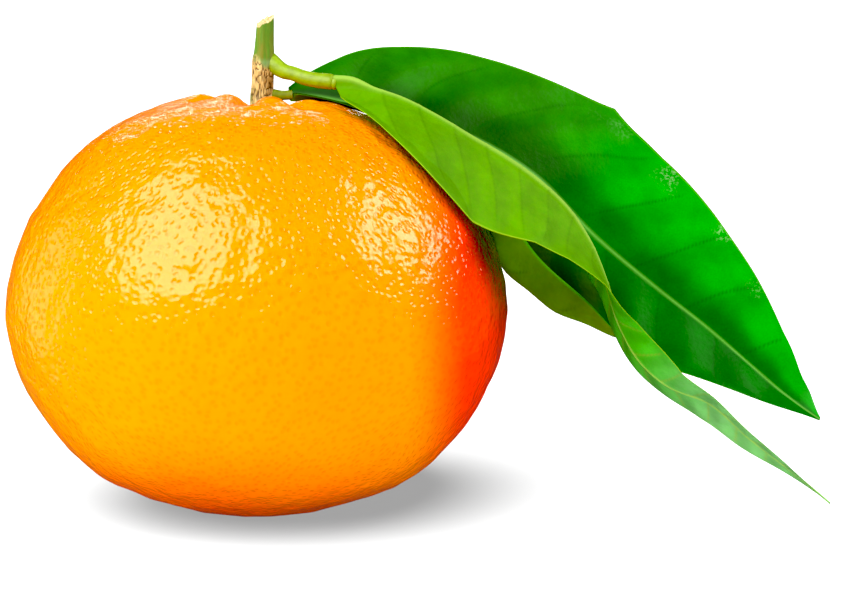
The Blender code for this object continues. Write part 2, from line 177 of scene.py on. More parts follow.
class Nodes:
    # a short way to write one material's nodes

    def __init__(self, name):
        self.material = bpy.data.materials.new(name)
        self.material.use_nodes = True
        self.tree = self.material.node_tree
        self.shader = self.tree.nodes["Principled BSDF"]
        self.where = self.add("ShaderNodeTexCoord").outputs["Object"]

    def add(self, kind, **settings):
        node = self.tree.nodes.new(kind)
        for key, value in settings.items():
            setattr(node, key, value)
        return node

    def wire(self, value, socket):
        if isinstance(value, bpy.types.NodeSocket):
            self.tree.links.new(value, socket)
        elif isinstance(value, tuple) and socket.type == "RGBA":
            socket.default_value = (*value[:3], 1.0)
        else:
            socket.default_value = value

    def math(self, operation, first, second=0.0, third=0.0):
        node = self.add("ShaderNodeMath", operation=operation)
        for socket, value in zip(node.inputs, (first, second, third)):
            self.wire(value, socket)
        return node.outputs[0]

    def times(self, first, second):
        return self.math("MULTIPLY", first, second)

    def ramp(self, value, low, high, start=0.0, end=1.0):
        # value from low to high becomes start to end, eased and held at both ends
        node = self.add("ShaderNodeMapRange", interpolation_type="SMOOTHSTEP")
        for socket, number in zip(node.inputs, (value, low, high, start, end)):
            self.wire(number, socket)
        return node.outputs[0]

    def mix(self, share, first, second, blend="MIX"):
        # the colour sockets are inputs 6 and 7 and output 2
        node = self.add("ShaderNodeMix", data_type="RGBA", blend_type=blend)
        self.wire(share, node.inputs["Factor"])
        self.wire(first, node.inputs[6])
        self.wire(second, node.inputs[7])
        return node.outputs[2]

    def attribute(self, label):
        return self.add("ShaderNodeAttribute", attribute_name=label).outputs["Fac"]

    def stretch(self, scale):
        node = self.add("ShaderNodeMapping")
        self.wire(self.where, node.inputs["Vector"])
        node.inputs["Scale"].default_value = scale
        return node.outputs["Vector"]

    def noise(self, scale, detail=2.0, rough=0.5, vector=None):
        node = self.add("ShaderNodeTexNoise")
        self.wire(vector or self.where, node.inputs["Vector"])
        node.inputs["Scale"].default_value = scale
        node.inputs["Detail"].default_value = detail
        node.inputs["Roughness"].default_value = rough
        return node.outputs["Fac"]

    def cells(self, scale, vector=None, flat=False):
        node = self.add("ShaderNodeTexVoronoi", voronoi_dimensions="2D" if flat else "3D")
        self.wire(vector or self.where, node.inputs["Vector"])
        node.inputs["Scale"].default_value = scale
        return node.outputs["Distance"]

    def bump(self, heightMm):
        # heights are in millimetres
        node = self.add("ShaderNodeBump")
        node.inputs["Strength"].default_value = 1.0
        node.inputs["Distance"].default_value = mm
        self.wire(heightMm, node.inputs["Height"])
        self.wire(node.outputs["Normal"], self.shader.inputs["Normal"])

    def finish(self, color, **sockets):
        self.wire(color, self.shader.inputs["Base Color"])
        for label, value in sockets.items():
            self.wire(value, self.shader.inputs[label])
        return self.material


# the fruit's shape: a flattened round body, fuller at the shoulder, that leans back a little

fruitLow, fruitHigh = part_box("fruit")
fruit = dict(
    radius=33.0 * mm,
    halfHeight=27.65 * mm,
    tiltBack=math.radians(9.0),
    tiltSide=math.radians(1.5),
    restSpot=6.5 * mm,
    roundExponent=2.0,
    shoulderFullness=0.24,
    shoulderLopsided=0.18,
    shoulderDegrees=(22.0, 50.0),
    bellyFullness=0.13,
    bellyDegrees=-47.0,
    bellySpread=16.0,
    hollowDepth=2.8 * mm,
    hollowRadius=6.0 * mm,
    furrowCount=9,
    furrowDepth=0.5 * mm,
    furrowRadius=9.0 * mm,
    furrowSpread=3.5 * mm,
    rimFurrowDepth=1.7 * mm,
    rimFurrowRadius=8.0 * mm,
    rimFurrowSpread=3.3 * mm,
    rimFurrowLevel=0.38,
    # the flatter left side: depth, and middle, spread and share of each band, in degrees up
    leftFlat=1.1 * mm,
    leftBands=((46.0, 18.0, 1.0), (12.0, 15.0, 0.36)),
    leftSpread=45.0,
    navelRadius=3.0 * mm,
    columns=440,
    rows=222,
    # size and height of each layer of lumps
    lumps=(
        (13.0 * mm, 0.16 * mm),
        (6.5 * mm, 0.11 * mm),
        (3.3 * mm, 0.12 * mm),
        (1.8 * mm, 0.10 * mm),
    ),
    dimpleSpacing=2.3 * mm,
    dimpleDepth=0.035 * mm,
    dimpleRadius=0.3,
)


def fruitAxes():
    # right, back and up of the fruit itself
    side, back = fruit["tiltSide"], fruit["tiltBack"]
    upward = np.array([math.sin(side), math.sin(back) * math.cos(side), math.cos(back) * math.cos(side)])
    right = unit(np.array([1.0, 0.0, 0.0]) - upward[0] * upward)
    return np.array([right, np.cross(upward, right), upward])


def fruitCentre():
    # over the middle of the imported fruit's box, and as high as its lowest point and rest spot ask
    halfAxes = np.array([fruit["radius"], fruit["radius"], fruit["halfHeight"]])
    down = fruitAxes() @ -up
    lowest = halfAxes**2 * down / np.linalg.norm(halfAxes * down)
    sagitta = fruit["restSpot"] ** 2 * fruit["halfHeight"] / (2.0 * fruit["radius"] ** 2)
    return -(lowest @ fruitAxes()) - sagitta * up


centre, axes = fruitCentre(), fruitAxes()
seat = centre + fruit["halfHeight"] * axes[2]
offCentre = abs(centre[0] - (fruitLow.x + fruitHigh.x) / 2.0)
print("fruit centre", np.round(centre / mm, 2), "mm, off the packed box by", round(offCentre / mm, 3), "mm")


def fruitReach(latitude, longitude):
    # distance from the centre: a superellipse whose exponent grows at the shoulder and under the belly
    degreesUp = np.degrees(latitude)
    upper = smoothStep(degreesUp, *fruit["shoulderDegrees"])
    belly = bell(degreesUp - fruit["bellyDegrees"], fruit["bellySpread"])
    fullness = fruit["shoulderFullness"] - fruit["shoulderLopsided"] * np.cos(longitude)
    exponent = fruit["roundExponent"] + upper * fullness + fruit["bellyFullness"] * belly
    flatPart = np.abs(np.cos(latitude) / fruit["radius"]) ** exponent
    tallPart = np.abs(np.sin(latitude) / fruit["halfHeight"]) ** exponent
    return (flatPart + tallPart) ** (-1.0 / exponent)


def fruitSkin(latitude, longitude):
    # skin points, with the stem hollow and the furrows that run up to its rim pressed in
    reach = fruitReach(latitude, longitude)
    out, rise = reach * np.cos(latitude), reach * np.sin(latitude)
    topSide = smoothStep(latitude, 0.0, math.radians(30.0))
    bowl = fruit["hollowDepth"] * bell(out, fruit["hollowRadius"])
    wave = (1.0 - np.cos(fruit["furrowCount"] * longitude)) / 2.0
    furrow = fruit["furrowDepth"] * bell(out - fruit["furrowRadius"], fruit["furrowSpread"]) * wave
    rim = bell(out - fruit["rimFurrowRadius"], fruit["rimFurrowSpread"])
    furrow = furrow + fruit["rimFurrowDepth"] * rim * (wave**3 - fruit["rimFurrowLevel"])
    rise = rise - topSide * (bowl + furrow)
    local = np.stack([out * np.cos(longitude), out * np.sin(longitude), rise], axis=-1)
    return centre + local @ axes


def liftOffFruit(points, clearance):
    # a point nearer to the fruit than the clearance moves straight out to it
    local = (points - centre) @ axes.T
    distance = np.linalg.norm(local, axis=-1)
    latitude = np.arcsin(np.clip(local[..., 2] / distance, -1.0, 1.0))
    least = fruitReach(latitude, np.arctan2(local[..., 1], local[..., 0])) + clearance
    return centre + (local * (np.maximum(distance, least) / distance)[..., None]) @ axes


def makeFruit():
    # rings from the underside to the hollow, pushed in and out by lumps and dimples, flat where it stands
    latitudes = np.linspace(-math.pi / 2.0, math.pi / 2.0, fruit["rows"] + 2)[1:-1]
    longitudes = np.linspace(0.0, 2.0 * math.pi, fruit["columns"], endpoint=False)
    rings = fruitSkin(latitudes[:, None], longitudes[None, :])
    outward = unit(rings - centre)
    degreesUp = np.degrees(latitudes)[:, None]
    leftSide = bell(np.degrees(longitudes) - 180.0, fruit["leftSpread"])[None, :]
    leftBands = sum(share * bell(degreesUp - middle, spread) for middle, spread, share in fruit["leftBands"])
    height = -fruit["leftFlat"] * leftSide * leftBands
    for seed, (size, amount) in enumerate(fruit["lumps"]):
        height += amount * softNoise(rings, size, seed + 3)
    dimple = bell(nearestSeed(rings, fruit["dimpleSpacing"], 11), fruit["dimpleRadius"])
    height -= fruit["dimpleDepth"] * dimple
    rings = rings + outward * height[..., None]
    rings[..., 2] = np.maximum(rings[..., 2], 0.0)
    out = np.linalg.norm(((rings - centre) @ axes.T)[..., :2], axis=-1)
    hollow = bell(out, fruit["hollowRadius"]) * (latitudes[:, None] > 0.0)
    navel = bell(out, fruit["navelRadius"]) * (latitudes[:, None] < 0.0)
    piece = closedSkin("fruitPeel", rings, peelFinish(), {"hollow": hollow, "navel": navel})
    sixSideMap(piece.data, "pores")
    return piece


def sixSideMap(mesh, label):
    # a flat map in metres for the pores: each face belongs to the nearest of six sides of the fruit, and a
    # corner's place is its two angles from that side's middle times the radius; the sides lie well apart
    sideGap = 0.2
    loops = np.empty(len(mesh.loops), np.int32)
    mesh.loops.foreach_get("vertex_index", loops)
    points = np.empty(3 * len(mesh.vertices), np.float32)
    mesh.vertices.foreach_get("co", points)
    middles = np.empty(3 * len(mesh.polygons), np.float32)
    mesh.polygons.foreach_get("center", middles)
    counts = np.empty(len(mesh.polygons), np.int32)
    mesh.polygons.foreach_get("loop_total", counts)
    middles = (middles.reshape(-1, 3) - centre) @ axes.T
    side = np.argmax(np.abs(middles), axis=1)
    turned = np.take_along_axis(middles, side[:, None], axis=1)[:, 0] < 0.0
    corner = ((points.reshape(-1, 3) - centre) @ axes.T)[loops]
    side, turned = np.repeat(side, counts), np.repeat(turned, counts)
    depth = np.abs(np.take_along_axis(corner, side[:, None], axis=1)[:, 0])
    flat = []
    for step in (1, 2):
        reach = np.take_along_axis(corner, ((side + step) % 3)[:, None], axis=1)[:, 0]
        flat.append(fruit["radius"] * np.arctan2(reach, depth) + sideGap * (2 * side + turned))
    layer = mesh.uv_layers.new(name=label)
    layer.data.foreach_set("uv", np.stack(flat, axis=-1).astype(np.float32).ravel())


peel = dict(
    # painted shade: the peel turns redder and darker towards the bottom (low), a little on top (high), on
    # the right side (side), under the front leaf (shade) and most beside its edge (deepShade)
    low=(1.0, 0.06, 0.0),
    middle=(1.0, 0.30, 0.0),
    high=(1.0, 0.26, 0.0),
    side=(1.0, 0.035, 0.0),
    shade=(0.42, 0.014, 0.0),
    deepShade=(0.18, 0.004, 0.0),
    pitColor=(1.0, 0.62, 0.0),
    hollowColor=(0.75, 0.40, 0.02),
    navelColor=(0.25, 0.11, 0.02),
    # heights, and places to the right, in metres, between which each colour takes over from the one before
    middleHeights=(-0.004, 0.018),
    highHeights=(0.026, 0.052),
    sideShadePlaces=(0.0190, 0.0278),
    shadePlaces=(0.0275, 0.0325),
    shadeHeights=(0.020, 0.033),
    deepShadePlaces=(0.0255, 0.0295),
    deepShadeDiagonal=(0.0590, 0.0645),
    driftPerMetre=70.0,
    driftHeight=0.010,
    # pores and waves: depths and heights are in millimetres
    poresPerMetre=800.0,
    poreDepth=0.072,
    poreSpan=(0.03, 0.42),
    poreTint=0.28,
    waves=((420.0, 0.24), (800.0, 0.19)),
    shader={
        "Roughness": 0.17,
        "IOR": 1.56,
        "Subsurface Weight": 0.25,
        "Subsurface Radius": (1.0, 0.10, 0.03),
        "Subsurface Scale": 3.5 * mm,
        "Specular Tint": (1.0, 0.93, 0.70),
    },
)


def peelFinish():
    # orange with painted shade, deepening downwards, to the right and under and beside the front leaf, with
    # fine pores, in a waxy gloss
    n = Nodes("orangePeel")
    split = n.add("ShaderNodeSeparateXYZ")
    n.wire(n.where, split.inputs[0])
    toRight, height = split.outputs["X"], split.outputs["Z"]
    drift = n.math("SUBTRACT", n.noise(peel["driftPerMetre"], 3.0), 0.5)
    rise = n.math("ADD", height, n.times(drift, peel["driftHeight"]))
    # painted shade: redder and darker downwards and on the right side
    color = n.mix(n.ramp(rise, *peel["middleHeights"]), peel["low"], peel["middle"])
    color = n.mix(n.ramp(rise, *peel["highHeights"]), color, peel["high"])
    color = n.mix(n.ramp(toRight, *peel["sideShadePlaces"]), color, peel["side"])
    # painted shade under the front leaf, darkest beside its edge
    shadeUnderLeaf = n.times(n.ramp(toRight, *peel["shadePlaces"]), n.ramp(rise, *peel["shadeHeights"]))
    color = n.mix(shadeUnderLeaf, color, peel["shade"])
    diagonal = n.ramp(n.math("ADD", rise, toRight), *peel["deepShadeDiagonal"])
    shadeBesideLeaf = n.times(n.ramp(toRight, *peel["deepShadePlaces"]), diagonal)
    color = n.mix(shadeBesideLeaf, color, peel["deepShade"])
    flatMap = n.add("ShaderNodeUVMap", uv_map="pores").outputs["UV"]
    hole = n.ramp(n.cells(peel["poresPerMetre"], vector=flatMap, flat=True), *peel["poreSpan"], 1.0, 0.0)
    color = n.mix(n.times(hole, peel["poreTint"]), color, peel["pitColor"], "MULTIPLY")
    color = n.mix(n.times(n.attribute("hollow"), 0.5), color, peel["hollowColor"])
    color = n.mix(n.attribute("navel"), color, peel["navelColor"])
    relief = n.times(hole, -peel["poreDepth"])
    for perMetre, amount in peel["waves"]:
        relief = n.math("MULTIPLY_ADD", n.noise(perMetre, 1.0, 0.4), amount, relief)
    n.bump(relief)
    return n.finish(color, **peel["shader"])


# the calyx: a five-lobed button that lines the floor of the hollow

calyx = dict(
    radius=3.0 * mm,
    thickness=0.9 * mm,
    lobes=5,
    lobeDepth=0.2,
    gap=0.3 * mm,
    edgeFall=0.92,
    grain=0.06 * mm,
    grainSize=0.7 * mm,
    around=150,
    rings=26,
    green=(0.10, 0.20, 0.02),
    brown=(0.12, 0.07, 0.02),
)


def makeCalyx():
    # from the middle of the underside out to the lobed edge and back in over the top
    half = calyx["rings"]
    shares = np.concatenate([np.linspace(0.03, 1.0, half), np.linspace(1.0, 0.03, half)[1:]])
    side = np.concatenate([np.zeros(half), np.ones(half - 1)])
    longitudes = np.linspace(0.0, 2.0 * math.pi, calyx["around"], endpoint=False)
    lobe = 1.0 + calyx["lobeDepth"] * np.cos(calyx["lobes"] * longitudes)[None, :] * shares[:, None] ** 2
    out = calyx["radius"] * shares[:, None] * lobe
    skin = fruitSkin(np.arctan2(fruit["halfHeight"], out), np.broadcast_to(longitudes, out.shape))
    rise = calyx["thickness"] * np.sqrt(np.clip(1.0 - calyx["edgeFall"] * shares**2, 0.0, 1.0)) * side
    rise = rise[:, None] + calyx["grain"] * softNoise(skin, calyx["grainSize"], 5) * side[:, None]
    rings = skin + (calyx["gap"] + rise)[..., None] * axes[2]
    return closedSkin("calyxButton", rings, calyxFinish(), {"edge": shares[:, None]})


def calyxFinish():
    # dull green that browns at the lobes' edges
    n = Nodes("calyxGreen")
    browned = n.times(n.ramp(n.attribute("edge"), 0.55, 1.0), n.ramp(n.noise(1500.0), 0.35, 0.6))
    color = n.mix(browned, calyx["green"], calyx["brown"])
    n.bump(n.times(n.noise(2600.0, 3.0), 0.06))
    return n.finish(color, Roughness=0.65)


# the twig and the leaf stalks: round profiles carried along a path

stem = dict(
    radius=1.3 * mm,
    topTaper=0.80,
    footFlare=1.22,
    reach=9.65 * mm,
    cutSlope=math.radians(25.0),
    cutFacing=math.radians(15.0),
    lean=0.052,
    footDepth=1.3 * mm,
    nodeHeight=4.3 * mm,
    nodeSwell=0.12,
    nodeSpread=1.4 * mm,
    # the bark gives way to the green skin between these heights, tilted and ragged
    barkTop=(3.9 * mm, 4.9 * mm),
    barkTilt=0.9 * mm,
    barkRagged=0.5 * mm,
    fissureStretch=3.8,
    fissureSize=0.22 * mm,
    fissureDepth=0.12 * mm,
    ridgeSize=0.6 * mm,
    ridgeHeight=0.10 * mm,
    flutes=7,
    fluteDepth=0.035 * mm,
    fibreSize=0.28 * mm,
    fibreHeight=0.20 * mm,
    cutDish=0.12 * mm,
    around=120,
    rows=230,
    capRings=22,
)


def squareToPath(spine):
    # two directions at each point of a path, square to it and to each other, the first towards the front
    front = np.array([0.0, -1.0, 0.0])
    ahead = unit(np.gradient(spine, axis=0))
    first = unit(front - (ahead @ front)[:, None] * ahead)
    return first, np.cross(ahead, first)


def makeStem():
    # rings up the twig to a sloping cut, then rings that close over the cut's rough face
    heights = np.linspace(-stem["footDepth"], stem["reach"] + 1.6 * stem["radius"], stem["rows"])
    shares = (heights - heights[0]) / (heights[-1] - heights[0])
    settle = smoothStep(shares, 0.0, 1.0 / 3.0)[:, None]
    upright = np.array([stem["lean"], 0.0, 1.0])
    spine = seat + heights[:, None] * (axes[2] * (1.0 - settle) + upright * settle)
    angles = np.linspace(0.0, 2.0 * math.pi, stem["around"], endpoint=False)
    radius = stem["radius"] * (stem["footFlare"] + (stem["topTaper"] - stem["footFlare"]) * shares)
    radius = radius * (1.0 + stem["nodeSwell"] * bell(heights - stem["nodeHeight"], stem["nodeSpread"]))
    ring = np.stack([np.cos(angles), np.sin(angles), 0.0 * angles], axis=-1)
    shell = spine[:, None] + radius[:, None, None] * ring[None]
    barkLine = heights[:, None] + stem["barkTilt"] * np.cos(angles)[None, :]
    barkLine = barkLine + stem["barkRagged"] * softNoise(shell, 0.8 * mm, 27)
    barkShare = 1.0 - smoothStep(barkLine, *stem["barkTop"])
    stretched = shell / np.array([1.0, 1.0, stem["fissureStretch"]])
    fissure = np.abs(softNoise(stretched, stem["fissureSize"], 21))
    ridge = softNoise(stretched, stem["ridgeSize"], 24)
    rough = (stem["ridgeHeight"] * ridge - stem["fissureDepth"] * bell(fissure, 0.14)) * barkShare
    rough = rough + stem["fluteDepth"] * np.cos(stem["flutes"] * angles)[None, :] * (1.0 - barkShare)
    shell = shell + rough[..., None] * ring[None]
    top = seat + np.array([0.0, 0.0, stem["reach"]])
    slope = np.array([math.tan(stem["cutSlope"]), math.tan(stem["cutFacing"])])

    def cutHeight(points):
        # the sloping cut, with fibres that stand up unevenly and a ragged edge
        fibres = softNoise(points * np.array([1.0, 1.0, 0.0]), stem["fibreSize"], 31)
        return top[2] + (points[..., :2] - top[:2]) @ slope + stem["fibreHeight"] * fibres

    shell[..., 2] = np.minimum(shell[..., 2], cutHeight(shell))
    inward = np.linspace(1.0, 0.04, stem["capRings"])[1:, None, None]
    middle = shell[-1].mean(axis=0)
    cap = middle + (shell[-1] - middle) * inward
    cap[..., 2] = cutHeight(cap) - stem["cutDish"] * (1.0 - inward[..., 0]) ** 0.5
    rings = np.concatenate([shell, cap])
    nearCut = smoothStep(shell[..., 2] - cutHeight(shell), -0.12 * mm, 0.0)
    isCut = np.concatenate([nearCut, np.ones(cap.shape[:2])])
    level = (rings[..., 2] - seat[2]) / stem["reach"]
    bark = np.concatenate([np.broadcast_to(barkShare, shell.shape[:2]), np.zeros(cap.shape[:2])])
    deep = np.concatenate([bell(fissure, 0.17), np.zeros(cap.shape[:2])])
    attributes = {"cut": isCut, "level": level, "bark": bark, "deep": deep}
    return closedSkin("stemTwig", rings, stemFinish(), attributes)


twig = dict(
    green=(0.085, 0.23, 0.006),
    streak=(0.19, 0.21, 0.008),
    freshStreak=(0.13, 0.30, 0.012),
    nodeBand=(0.20, 0.37, 0.13),
    tanDark=(0.44, 0.30, 0.08),
    tanPale=(0.86, 0.66, 0.26),
    moss=(0.14, 0.21, 0.01),
    crack=(0.10, 0.05, 0.012),
    creamPale=(0.80, 0.70, 0.38),
    creamDark=(0.55, 0.36, 0.12),
    # where the pale band starts and ends, as shares of the twig's height
    bandFoot=(0.36, 0.43),
    bandTop=(0.54, 0.46),
    roughness=0.55,
)


def stemFinish():
    # green twig with brown streaks, a pale band at the node, fissured tan bark below and a cream cut
    n = Nodes("twigBark")
    streaks = n.noise(1.0, 3.0, 0.6, n.stretch((1500.0, 1500.0, 160.0)))
    fine = n.noise(1.0, 3.0, 0.6, n.stretch((4200.0, 4200.0, 500.0)))
    green = n.mix(n.ramp(streaks, 0.4, 0.66), twig["green"], twig["streak"])
    green = n.mix(n.ramp(fine, 0.45, 0.7, 0.0, 0.5), green, twig["freshStreak"])
    level = n.attribute("level")
    band = n.times(n.ramp(level, *twig["bandFoot"]), n.ramp(level, *twig["bandTop"]))
    green = n.mix(n.times(band, 0.7), green, twig["nodeBand"])
    tan = n.mix(n.ramp(fine, 0.3, 0.7), twig["tanDark"], twig["tanPale"])
    mossy = n.times(n.ramp(n.noise(420.0, 2.0), 0.5, 0.6), 0.75)
    tan = n.mix(mossy, tan, twig["moss"])
    tan = n.mix(n.attribute("deep"), tan, twig["crack"])
    color = n.mix(n.attribute("bark"), green, tan)
    cream = n.mix(n.ramp(fine, 0.35, 0.65), twig["creamPale"], twig["creamDark"])
    color = n.mix(n.attribute("cut"), color, cream)
    n.bump(n.times(fine, 0.12))
    return n.finish(color, Roughness=twig["roughness"])


stalkBuild = dict(
    grooveDepth=0.10,
    grooveSpread=0.28,
    jointPlace=0.93,
    jointCrease=0.10,
    jointSpread=0.012,
    endFrom=0.975,
    grain=0.02 * mm,
    grainSize=0.8 * mm,
    footGreen=(0.12, 0.27, 0.03),
    roughness=0.45,
)
frontStalk = dict(
    # middle line from the seat of the stem: right, back, up in millimetres, and thickness share
    route=(
        (-0.20, 0.40, 6.0, 0.45),
        (0.38, 0.25, 5.35, 0.80),
        (1.15, 0.0, 4.6, 1.12),
        (2.05, -0.5, 3.75, 1.14),
        (3.0, -0.9, 3.25, 1.05),
        (4.2, -1.35, 2.98, 1.0),
        (5.8, -2.0, 2.5, 1.0),
        (7.4, -2.45, 2.25, 1.03),
        (9.0, -2.85, 2.12, 1.05),
        (10.2, -3.1, 1.9, 0.9),
    ),
    radius=1.0 * mm,
    rows=170,
    around=72,
    green=(0.26, 0.41, 0.004),
    underside=(0.36, 0.27, 0.008),
)
backStalk = dict(
    route=(
        (0.8, 0.0, 0.15, 1.3),
        (1.7, 0.0, 0.05, 1.15),
        (2.7, 0.0, 0.0, 1.0),
        (4.1, 0.1, 0.05, 0.95),
    ),
    radius=0.68 * mm,
    rows=70,
    around=48,
    green=(0.25, 0.34, 0.015),
    # painted shade: the underside that lies on the fruit is darker
    underside=(0.11, 0.13, 0.01),
)


def makeStalk(name, settings, material):
    # a round profile with a shallow groove on top, thickness read from the route, a crease at the joint
    rows = np.array(settings["route"])
    stations = np.arange(len(rows), dtype=float)
    rows = curveThrough(stations, rows, np.linspace(0.0, stations[-1], settings["rows"]))
    spine = seat + rows[:, :3] * mm
    first, second = squareToPath(spine)
    shares = np.linspace(0.0, 1.0, settings["rows"])
    crease = stalkBuild["jointCrease"] * bell(shares - stalkBuild["jointPlace"], stalkBuild["jointSpread"])
    radius = settings["radius"] * rows[:, 3] * (1.0 - crease)
    closing = np.sqrt(np.clip(1.0 - smoothStep(shares, stalkBuild["endFrom"], 1.0), 0.02, 1.0))
    angles = np.linspace(0.0, 2.0 * math.pi, settings["around"], endpoint=False)
    fromTop = np.sin((angles - math.pi / 2.0) / 2.0)
    profile = 1.0 - stalkBuild["grooveDepth"] * bell(fromTop, stalkBuild["grooveSpread"])
    reach = (radius * closing)[:, None] * profile[None, :]
    rings = spine[:, None] + reach[..., None] * (
        np.cos(angles)[None, :, None] * first[:, None] + np.sin(angles)[None, :, None] * second[:, None]
    )
    grain = stalkBuild["grain"] * softNoise(rings, stalkBuild["grainSize"], 41)
    rings = rings + grain[..., None] * unit(rings - spine[:, None])
    underside = -unit(rings - spine[:, None])[..., 2]
    return closedSkin(name, rings, material, {"along": shares[:, None], "underside": underside})


def stalkFinish(name, settings):
    # yellow-green with fine streaks along it, browner underneath, which on the back stalk is a darker
    # painted shade, and greener at the foot
    n = Nodes(name)
    green, underside = settings["green"], settings["underside"]
    dull = tuple(0.72 * value for value in green)
    color = n.mix(n.ramp(n.noise(900.0, 3.0, 0.6), 0.35, 0.7), green, dull)
    color = n.mix(n.ramp(n.attribute("underside"), 0.25, 1.0), color, underside)
    color = n.mix(n.ramp(n.attribute("along"), 0.24, 0.06, 0.0, 0.85), color, stalkBuild["footGreen"])
    n.bump(n.times(n.noise(2200.0, 3.0), 0.03))
    return n.finish(color, Roughness=stalkBuild["roughness"])


# the leaves: two halves that leave the midrib at their own angles and bend or roll

leafBuild = dict(
    rows=300,
    halfColumns=58,
    thickness=0.30 * mm,
    ribWidth=0.62 * mm,
    ribHeight=0.42 * mm,
    # the rib stands higher at the foot by this share, which fades over this share of the length
    ribFoot=1.2,
    ribFootFade=0.05,
    ribLine=(0.34 * mm, 0.20 * mm),
    grooveWidth=0.5 * mm,
    grooveDepth=0.10 * mm,
    grooveCrest=0.09 * mm,
    grooveCrestWidth=0.2 * mm,
    veinWidth=0.17 * mm,
    veinHeight=0.05 * mm,
    veinCurve=12.0,
    veinWander=0.12,
    veinWanderSize=9.0 * mm,
    thinning=0.75,
    leastWidth=0.012,
    cornerFade=0.035,
)

frontLeaf = dict(
    # right, back, down from the seat; front half: width share, angle, bend; rear half: width share, angle
    route=(
        (9.8, -3.0, -2.0, 0.04, -40, 0, 0.04, 205),
        (11.7, -3.7, -2.1, 0.25, -42, -4, 0.18, 203),
        (14.5, -4.7, -1.1, 0.46, -23, -8, 0.30, 202),
        (18.4, -5.5, 0.1, 0.70, -14, -12, 0.41, 202),
        (22.9, -6.0, 2.3, 0.89, -18, -14, 0.52, 202),
        (27.3, -6.0, 4.9, 1.00, -28, -12, 0.59, 203),
        (31.9, -6.0, 7.6, 1.00, -32, -8, 0.63, 204),
        (36.4, -6.0, 10.8, 0.90, -33, -4, 0.63, 205),
        (40.1, -6.0, 14.3, 0.76, -27, 0, 0.63, 206),
        (43.0, -6.5, 18.6, 0.61, -12, 0, 0.59, 206),
        (45.1, -7.0, 23.5, 0.52, 13, 0, 0.55, 207),
        (47.0, -7.5, 29.3, 0.44, 34, 0, 0.44, 202),
        (49.9, -8.0, 34.3, 0.41, 47, 0, 0.41, 202),
        (53.3, -8.5, 37.2, 0.37, 45, 0, 0.37, 206),
        (59.0, -9.5, 39.4, 0.33, 25, 0, 0.33, 225),
        (64.0, -10.5, 43.7, 0.26, 22, 0, 0.26, 221),
        (69.2, -11.2, 47.7, 0.16, 18, 0, 0.16, 211),
        (74.7, -12.0, 52.2, 0.03, 10, 0, 0.03, 195),
    ),
    length=88.7 * mm,
    halfWidth=13.5 * mm,
    tipHeight=2.3 * mm,
    lift=1.35 * mm,
    glossyAbove=False,
    rollBand=None,
    corner=None,
    veinSpacing=4.9 * mm,
    veinSweep=0.42,
    veinStart=(0.1, -0.44),
    pucker=0.10 * mm,
    seed=60,
)
backLeaf = dict(
    # the same columns, with a roll in place of the bend
    route=(
        (3.9, 0.0, -0.1, 0.08, -30, 0, 0.08, 130),
        (7.5, 3.0, 0.6, 0.30, -32, 0, 0.27, 128),
        (11.4, 6.0, 1.7, 0.46, -30, 0, 0.47, 129),
        (18.8, 10.5, 3.7, 0.62, -26, 0, 0.75, 132),
        (27.2, 13.0, 6.8, 0.97, -28, 0, 0.92, 132),
        (36.1, 14.0, 12.0, 1.29, -45, 130, 1.00, 130),
        (45.5, 14.0, 21.2, 1.16, -54, 150, 0.98, 121),
        (54.2, 13.0, 28.3, 0.86, -46, 60, 0.82, 113),
        (60.9, 12.0, 33.4, 0.58, -42, 0, 0.63, 111),
        (67.3, 11.0, 38.8, 0.37, -31, 0, 0.40, 117),
        (71.8, 10.0, 42.5, 0.21, -20, 0, 0.23, 130),
        (76.3, 9.5, 45.6, 0.02, -10, 0, 0.02, 150),
    ),
    length=90.0 * mm,
    halfWidth=15.5 * mm,
    tipHeight=8.9 * mm,
    lift=0.55 * mm,
    glossyAbove=True,
    rollBand=(0.695, 0.81),
    corner=(0.462, 0.12),
    veinSpacing=9.5 * mm,
    veinSweep=0.55,
    veinStart=(0.0, 0.45),
    pucker=0.36 * mm,
    seed=70,
)


def midribRoute(leaf, rows):
    # the midrib at the leaf's real length, hanging from the seat to its tip's height
    offsets = rows[:, :3] * mm
    drawn = np.linalg.norm(np.diff(offsets, axis=0), axis=1).sum()
    foot = offsets[0]
    reach = foot[:2] + (offsets[:, :2] - foot[:2]) * leaf["length"] / drawn
    footHeight = seat[2] - foot[2]
    droop = (footHeight - leaf["tipHeight"]) / (offsets[-1, 2] - foot[2])
    height = footHeight - (offsets[:, 2] - foot[2]) * droop
    return np.column_stack([seat[:2] + reach, height])


